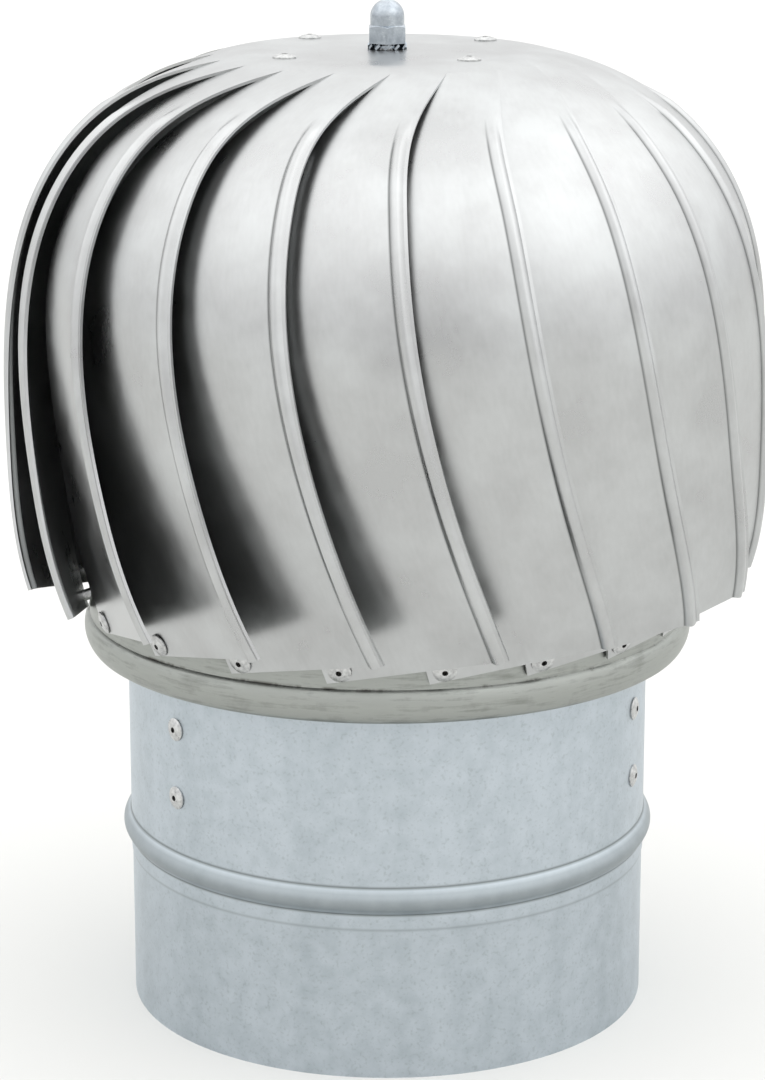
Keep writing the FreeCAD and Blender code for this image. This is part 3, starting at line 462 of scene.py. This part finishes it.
# one blade's outer face: across a blade the sheet keeps the dome's round and is pressed in on its tucked side
# only, as 1 - (1 - share)^bend of the way out, and towards the foot it is straight; a half-sine rib follows
# the free edge
def bladeSurface():
    # rows at even steps along the free edge, which is long where it sweeps round
    fine = np.linspace(rimTilt, footTilt, dome["edgeSteps"])
    steps = np.linalg.norm(np.diff(atTurn(*bladeEdges(fine)[1]), axis=0), axis=1)
    length = np.concatenate([[0], np.cumsum(steps)])
    tilt = np.interp(np.linspace(0, length[-1], dome["rows"]), length, fine)
    tuckedEdge, freeEdge = bladeEdges(tilt)
    tucked, free = atTurn(*tuckedEdge), atTurn(*freeEdge)
    width = np.linalg.norm(free - tucked, axis=1)[:, None]
    lip, rib = dome["ribLip"], dome["ribWidth"]
    ribFoot = width - lip - rib
    flat = np.linspace(0, 1, dome["acrossPoints"])[None, :] * ribFoot
    over = np.linspace(0, 1, dome["ribPoints"])[None, 1:]
    fade = np.degrees(tilt) - dome["ribStart"]
    fade = np.clip(fade / (dome["ribFull"] - dome["ribStart"]), 0, 1)[:, None]
    fade = fade * fade * (3 - 2 * fade)
    across = np.concatenate([flat, ribFoot + over * rib, width - lip / 2, width], 1)
    swell = dome["ribRise"] * fade * np.sin(math.pi * over)
    lift = np.concatenate([0 * flat, swell, 0 * width, 0 * width], 1)
    share = across / width
    straight = tucked[:, None] + share[..., None] * (free - tucked)[:, None]
    roundness = bladeRoundness(tilt)[:, None]
    risen = 1 - (1 - share) ** (1 + (dome["bend"] - 1) * roundness)
    pairs = zip(tuckedEdge, freeEdge, (risen, risen, share))
    bent = atTurn(*[a[:, None] + part * (b - a)[:, None] for a, b, part in pairs])
    face = straight + roundness[..., None] * (bent - straight)
    normal = acrossNormal(face)
    down = np.cumsum(np.concatenate([[0], np.linalg.norm(np.diff(free, axis=0), axis=1)]))
    uv = np.stack([width - across, np.broadcast_to(down[:, None], across.shape)], -1) * mm
    return face + lift[..., None] * normal, normal, uv


# turns points about the axis, one copy for each blade
def roundBlades(points):
    angle = fullTurn * np.arange(dome["bladeCount"]) / dome["bladeCount"]
    cos, sin, zero = np.cos(angle), np.sin(angle), 0 * angle
    spin = np.stack([cos, -sin, zero, sin, cos, zero, zero, zero, zero + 1], -1).reshape(-1, 3, 3)
    return np.einsum("kab,...b->k...a", spin, points)


# blades and crown in one piece: a blade is its outer face and the same face one sheet further in, closed at
# the edges and the foot and copied round, and the crown is a turned profile
def makeDome():
    outer, normal, uv = bladeSurface()
    inside = outer - dome["sheet"] * normal
    section = np.concatenate([outer, inside[:, ::-1]], 1)
    rows, columns = section.shape[:2]
    blade = gridFaces(rows, columns, False, True)
    last, strip = (rows - 1) * columns, np.arange(columns // 2 - 1)
    footEnd = [last + strip + 1, last + columns - 2 - strip, last + columns - 1 - strip, last + strip]
    blade = np.concatenate([blade, np.stack(footEnd, -1)])
    count, perBlade = dome["bladeCount"], rows * columns
    bladeQuads = (blade[None] + perBlade * np.arange(count)[:, None, None]).reshape(-1, 4)
    bladeUv = np.tile(np.concatenate([uv, uv[:, ::-1]], 1).reshape(-1, 2), (count, 1))
    # crown: a flat disc, then a soft bend (a parabola) into the cone that runs down to the rim
    top, bend = dome["crownTop"], np.linspace(-1, 1, dome["bendPoints"])
    slope = dome["rimDrop"] / (dome["rimRadius"] - dome["crownRadius"])
    bendR = dome["crownRadius"] + dome["bendHalf"] * bend
    bendZ = top - slope * dome["bendHalf"] * (1 + bend) ** 2 / 4
    flatR = np.linspace(dome["boltHole"], bendR[0], dome["crownPoints"])[:-1]
    faceR = np.concatenate([flatR, bendR, [dome["rimRadius"]]])
    faceZ = np.concatenate([np.full(len(flatR), top), bendZ, [top - dome["rimDrop"]]])
    profileR = np.concatenate([faceR, faceR[::-1]])
    profileZ = np.concatenate([faceZ, faceZ[::-1] - dome["sheet"]])
    turn = np.linspace(0, 360, dome["crownTurns"], endpoint=False)[:, None]
    crown = atTurn(profileR, profileZ, turn).reshape(-1, 3)
    crownQuads = gridFaces(dome["crownTurns"], len(profileR), True, True)[:, ::-1] + perBlade * count
    points = np.concatenate([roundBlades(section).reshape(-1, 3), crown])
    quads = np.concatenate([bladeQuads, crownQuads])
    # the crown's UV lies clear of the blades', where the sheet has no crease and no crease shade is painted
    crownUv = (crown[:, :2] - dome["crownUvShift"]) * mm
    newPiece("slottedDome", points, quads, "rotor", ["slotted_dome"], domeSheet,
             np.concatenate([bladeUv, crownUv]), dome["sharpAngle"])


makeDome()
print("dome made")


# The flue tube and the collar: profiles turned about the axis

tube = {
    "radius": 75.0, "wall": 0.8, "height": 117.0, "beadLow": 48.0, "beadHigh": 55.7, "beadRise": 2.2,
    "swageHeight": 43.9, "swageRun": 0.8, "swageStep": 0.25, "beadPoints": 25, "turns": 360,
}


# upright wall with a slight swage below a half-sine stop bead, then the same line one wall further in
def makeTube():
    share = np.linspace(0, 1, tube["beadPoints"])
    beadZ = tube["beadLow"] + share * (tube["beadHigh"] - tube["beadLow"])
    beadR = tube["radius"] + tube["beadRise"] * np.sin(math.pi * share)
    small, swage = tube["radius"] - tube["swageStep"], tube["swageHeight"]
    outerR = np.concatenate([[small, small, tube["radius"]], beadR, [tube["radius"]]])
    outerZ = np.concatenate([[0, swage - tube["swageRun"], swage], beadZ, [tube["height"]]])
    outer = np.stack([outerR, outerZ], 1)
    inner = outer[::-1] - [tube["wall"], 0]
    turnedPiece("flueTube", np.concatenate([outer, inner]), tube["turns"], "base", ["flue_tube"],
                galvanisedTube)


collar = {
    "radius": 85.8, "sheet": 0.8, "top": 123.5, "rollHigh": 115.6, "rollLow": 106.0, "rollRise": 2.0,
    "rollFlatness": 0.6, "mouth": 78.5, "turnIn": 1.0, "rollPoints": 25, "turns": 360, "sharpAngle": 30,
}


# upright wall, a crease, a rolled bead (a flattened half sine) and a lip turned in below it
def makeCollar():
    share = np.linspace(0, 1, collar["rollPoints"])
    rollZ = collar["rollHigh"] + share * (collar["rollLow"] - collar["rollHigh"])
    swell = collar["rollRise"] * np.sin(math.pi * share) ** collar["rollFlatness"]
    rollR = collar["radius"] - collar["turnIn"] * share + swell
    outer = np.stack([np.append(collar["radius"], rollR), np.append(collar["top"], rollZ)], 1)
    inner = outer[::-1] - [collar["sheet"], 0]
    inner[0, 1] += collar["sheet"]
    lip = [[collar["mouth"], collar["rollLow"]], [collar["mouth"], collar["rollLow"] + collar["sheet"]]]
    turnedPiece("collarRing", np.concatenate([outer, lip, inner]), collar["turns"], "rotor", ["collar"],
                collarSheet, collar["sharpAngle"])


makeTube()
makeCollar()
print("tube and collar made")


# Blind rivets on the crown, the collar and the arms

rivet = {
    "shank": 1.6, "head": 3.25, "rim": 0.35, "dome": 1.1, "hole": 0.8, "holeFloor": 0.2, "tail": 2.4,
    "plugLow": 0.25, "plugHigh": 0.4, "plugPlay": 0.03, "points": 9, "turns": 28,
    "footIn": 4.8, "footUp": 3.4, "clear": 0.04, "armGrip": 2.9, "crownGrip": 2.8, "collarGrip": 5.03,
    "armCount": 3, "armTurn": -51.5, "armHeights": (72.0, 92.0),
    "crownCount": 4, "crownTurn": -51.6, "crownCircle": 35.5,
}


# where a blade's tucked lower corner is riveted, up and in from the corner and clear of the highest place of
# the twisted sheet under the head, and the way out there
def collarRivetSeat():
    step = 1e-3
    corner, higher = [atTurn(*bladeEdges(np.array(t))[0]) for t in (footTilt, footTilt - step)]
    perLength = step / np.linalg.norm(higher - corner)
    reach, middle = rivet["head"] * np.linspace(-1, 1, rivet["points"]), rivet["points"] // 2
    tilt = footTilt - rivet["footUp"] * perLength + reach * perLength
    tucked, free = [atTurn(*edge) for edge in bladeEdges(tilt)]
    across = free - tucked
    across /= np.linalg.norm(across, axis=1, keepdims=True)
    before, after = [sum(atTurn(*edge) for edge in bladeEdges(tilt[middle] + move)) for move in (-step, step)]
    out = np.cross(after - before, across[middle])
    out /= np.linalg.norm(out)
    seat = tucked[middle] + rivet["footIn"] * across[middle]
    under = tucked[:, None] + (rivet["footIn"] + reach)[None, :, None] * across[:, None]
    return seat + out * (np.max((under - seat) @ out) + rivet["clear"]), out


# a profile along each seat's way out, turned about it: points (seat, turn, profile)
def onSeats(profile, seats, ways):
    radius, height = np.array(profile, float).T
    helper = np.where(np.abs(ways[:, 2:]) < 0.9, [[0.0, 0.0, 1.0]], [[1.0, 0.0, 0.0]])
    side = np.cross(helper, ways)
    side /= np.linalg.norm(side, axis=1, keepdims=True)
    rise = np.cross(ways, side)
    angle = np.linspace(0, fullTurn, rivet["turns"], endpoint=False)[:, None, None]
    spoke = np.cos(angle) * side[:, None, None] + np.sin(angle) * rise[:, None, None]
    return seats[:, None, None] + radius[:, None] * spoke + height[:, None] * ways[:, None, None]


# a set rivet: domed head with a hole, shank and bulged tail; its broken mandrel is a separate plug,
# near-black as painted shade in the hole
def makeRivets(name, seats, ways, grip, body, node):
    share = np.linspace(0, 1, rivet["points"])
    headR = rivet["head"] + share * (rivet["hole"] - rivet["head"])
    headZ = rivet["rim"] + (rivet["dome"] - rivet["rim"]) * np.sin(math.pi / 2 * share)
    tailR = rivet["shank"] + (rivet["tail"] - rivet["shank"]) * np.sin(math.pi * share)
    tailZ = -grip - rivet["tail"] * share
    hole, floor = rivet["hole"], rivet["holeFloor"]
    radius = np.concatenate([[0], tailR[::-1], [rivet["shank"], rivet["head"]], headR, [hole, 0]])
    height = np.concatenate([[tailZ[-1]], tailZ[::-1], [0, 0], headZ, [floor, floor]])
    plugR, low, high = hole - rivet["plugPlay"], rivet["plugLow"], rivet["plugHigh"]
    plug = [[0, low], [plugR, low], [plugR, high], [0, high]]
    for label, profile, nodes, metal in (
        (name, np.stack([radius, height], 1), [node], aluminium),
        (name + "Mandrels", plug, [], mandrelAndHoleShade),
    ):
        points = onSeats(profile, seats, ways)
        one = gridFaces(rivet["turns"], len(profile), True, False)
        step = rivet["turns"] * len(profile)
        quads = (one[None] + step * np.arange(len(seats))[:, None, None]).reshape(-1, 4)
        newPiece(label, points, quads, body, nodes, metal)


# one rivet for each blade on the collar, four on the crown and two for each bearing arm on the tube
def makeAllRivets():
    seat, out = collarRivetSeat()
    seats, ways = roundBlades(seat), roundBlades(out)
    makeRivets("collarRivets", seats, ways, rivet["collarGrip"], "rotor", "collar_rivets")
    crownTurns = rivet["crownTurn"] + 360 / rivet["crownCount"] * np.arange(rivet["crownCount"])
    crownSeats = atTurn(rivet["crownCircle"], dome["crownTop"], crownTurns)
    upright = np.tile([[0.0, 0.0, 1.0]], (rivet["crownCount"], 1))
    makeRivets("crownRivets", crownSeats, upright, rivet["crownGrip"], "rotor", "crown_rivets")
    armTurns = rivet["armTurn"] + 360 / rivet["armCount"] * np.arange(rivet["armCount"])
    armTurns = np.repeat(armTurns, len(rivet["armHeights"]))
    armSeats = atTurn(tube["radius"], np.tile(rivet["armHeights"], rivet["armCount"]), armTurns)
    makeRivets("armRivets", armSeats, atTurn(1.0, 0.0, armTurns), rivet["armGrip"], "base", "arm_rivets")


makeAllRivets()
print("rivets made")


# The domed cap nut

capNut = {
    "low": 276.5, "flats": 10.0, "hexHeight": 5.0, "bevel": 0.6, "domeRadius": 4.75, "height": 12.0,
    "wallPoints": 8, "bevelPoints": 7, "domePoints": 17, "turns": 120, "sharpAngle": 25,
}


# radius = the smaller of a hexagon's and a turned profile's, all round; a corner of the hexagon faces front
def makeCapNut():
    low, top = capNut["low"], capNut["low"] + capNut["height"]
    seat, corner, ball = low + capNut["hexHeight"], capNut["flats"] / math.sqrt(3), capNut["domeRadius"]
    wall, bevel = capNut["wallPoints"], capNut["bevelPoints"]
    bevelLow = seat - capNut["bevel"]
    share = np.linspace(0, math.pi / 2, capNut["domePoints"])
    radius = np.concatenate([
        [0, corner], np.full(wall, corner), np.linspace(corner, ball, bevel), ball * np.cos(share),
    ])
    height = np.concatenate([
        [low, low], np.linspace(low, bevelLow, wall), np.linspace(bevelLow, seat, bevel),
        top - ball + ball * np.sin(share),
    ])
    turn = np.linspace(0, 360, capNut["turns"], endpoint=False)[:, None]
    fromFlat = np.radians((turn % 60) - 30)
    radius = np.minimum(radius, capNut["flats"] / 2 / np.cos(fromFlat))
    quads = gridFaces(capNut["turns"], len(height), True, False)
    newPiece("capNut", atTurn(radius, height, turn), quads, "rotor", ["cap_nut"], zincPlate,
             None, capNut["sharpAngle"])


makeCapNut()
print("cap nut made")


# CAD nodes that keep their own mesh get their metals

nodeMetals = {
    "bearing_arm_1": galvanisedStrip, "bearing_arm_2": galvanisedStrip, "bearing_arm_3": galvanisedStrip,
    "stiffening_plate": galvanisedStrip, "bearing_housing": turnedSteel, "spindle": turnedSteel,
    "spacer_sleeve": turnedSteel,
    "flat_washer": zincPlate, "lock_nut": zincPlate, "toothed_washer": zincPlate,
    "lower_clip_ring": springSteel, "upper_clip_ring": springSteel,
    "lower_bearing_inner_ring": groundSteel, "lower_bearing_outer_ring": groundSteel,
    "lower_bearing_balls": groundSteel, "lower_bearing_cage": nylon,
    "upper_bearing_inner_ring": groundSteel, "upper_bearing_outer_ring": groundSteel,
    "upper_bearing_balls": groundSteel, "upper_bearing_cage": nylon,
}
for nodeName, metal in nodeMetals.items():
    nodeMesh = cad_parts[nodeName].data
    nodeMesh.materials.clear()
    nodeMesh.materials.append(metal)
print("small pieces finished:", len(nodeMetals))


# Floor, light and camera

studio = {
    "floorColour": "#C8C8C6", "floorSize": 12000, "floorGlow": 0.2,
    "tentColour": "#FFFFFF", "tentFront": 0.96, "tentLeft": 0.2, "tentRight": 0.28,
    "leftBand": (-0.2, -0.9), "rightBand": (0.1, 0.7),
    "heightBand": (-0.05, 0.8), "tentLow": 0.85, "tentHigh": 1.85,
    "keyPlace": (100, -600, 1700), "keySize": 2000, "keyPower": 2, "aim": (0, 0, 180),
    "cameraPlace": (0, -911.8, 375.1), "cameraPitch": 14.81, "focalPixels": 3274.6, "axisPixel": 387.3,
    "frameWidth": 765, "frameHeight": 1080, "clipStart": 10,
}


# pale floor paint; where it is seen or mirrored it glows a little, so that it reads white round the shadow
def makeFloor():
    half = studio["floorSize"] / 2
    corners = np.array([[-half, -half, 0], [half, -half, 0], [half, half, 0], [-half, half, 0]], float) * mm
    mesh = bpy.data.meshes.new("floor")
    mesh.from_pydata(corners.tolist(), [], [[0, 1, 2, 3]])
    floor = bpy.data.objects.new("floor", mesh)
    bpy.context.scene.collection.objects.link(floor)
    white = linearColour(studio["floorColour"])
    material, tree, shader = newMaterial("paleFloorPaint", {
        "Base Color": white, "Roughness": 0.9, "Specular IOR Level": 0.1, "Emission Color": white,
    })
    ray = addNode(tree, "ShaderNodeLightPath", {}, {}).outputs
    seen = ray["Is Camera Ray"]
    for kind in ("Is Glossy Ray", "Is Transmission Ray"):
        seen = addNode(tree, "ShaderNodeMath", {"operation": "MAXIMUM"}, {0: seen, 1: ray[kind]}).outputs[0]
    glow = addNode(tree, "ShaderNodeMath", {"operation": "MULTIPLY", 1: studio["floorGlow"]},
                   {0: seen}).outputs[0]
    tree.links.new(glow, shader["Emission Strength"])
    mesh.materials.append(material)


# a white tent, brightest overhead and a little brighter at both sides than in front
def makeWorld():
    world = bpy.data.worlds.new("studioTent")
    bpy.context.scene.world = world
    world.use_nodes = True
    tree = world.node_tree
    back = tree.nodes["Background"].inputs
    way = addNode(tree, "ShaderNodeTexCoord", {}, {}).outputs["Generated"]
    split = addNode(tree, "ShaderNodeSeparateXYZ", {}, {0: way}).outputs
    front = studio["tentFront"]
    left = addNode(tree, "ShaderNodeMapRange", {"range": (*studio["leftBand"], 0.0, studio["tentLeft"])},
                   {0: split["X"]}).outputs[0]
    right = addNode(tree, "ShaderNodeMapRange",
                    {"range": (*studio["rightBand"], front, front + studio["tentRight"])},
                    {0: split["X"]}).outputs[0]
    side = addNode(tree, "ShaderNodeMath", {"operation": "ADD"}, {0: left, 1: right}).outputs[0]
    above = addNode(tree, "ShaderNodeMapRange",
                    {"range": (*studio["heightBand"], studio["tentLow"], studio["tentHigh"])},
                    {0: split["Z"]}).outputs[0]
    level = addNode(tree, "ShaderNodeMath", {"operation": "MULTIPLY"}, {0: side, 1: above}).outputs[0]
    back["Color"].default_value = linearColour(studio["tentColour"])
    tree.links.new(level, back["Strength"])


# a square lamp at a place in mm, facing the middle of the dome
def addLamp(name, place, size, power):
    light = bpy.data.lights.new(name, "AREA")
    light.shape = "SQUARE"
    light.size = size * mm
    light.energy = power
    lamp = bpy.data.objects.new(name, light)
    lamp.location = [c * mm for c in place]
    way = np.array(studio["aim"], float) - np.array(place, float)
    climb = math.atan2(way[2], math.hypot(way[0], way[1]))
    lamp.rotation_euler = (math.pi / 2 + climb, 0, math.atan2(way[1], way[0]) - math.pi / 2)
    bpy.context.scene.collection.objects.link(lamp)


# the photograph's own camera, with the lens and the shift that its framing gives
def makeCamera():
    data = bpy.data.cameras.new("photoCamera")
    camera = bpy.data.objects.new("photoCamera", data)
    data.lens = data.sensor_width * studio["focalPixels"] / studio["frameHeight"]
    data.shift_x = (studio["frameWidth"] / 2 - studio["axisPixel"]) / studio["frameHeight"]
    data.clip_start = studio["clipStart"] * mm
    camera.location = [c * mm for c in studio["cameraPlace"]]
    camera.rotation_euler = (math.radians(90 - studio["cameraPitch"]), 0, 0)
    bpy.context.scene.collection.objects.link(camera)
    bpy.context.scene.camera = camera


makeFloor()
makeWorld()
addLamp("keySoftbox", studio["keyPlace"], studio["keySize"], studio["keyPower"])
makeCamera()
bpy.context.scene.view_settings.view_transform = "Standard"
print("studio made")
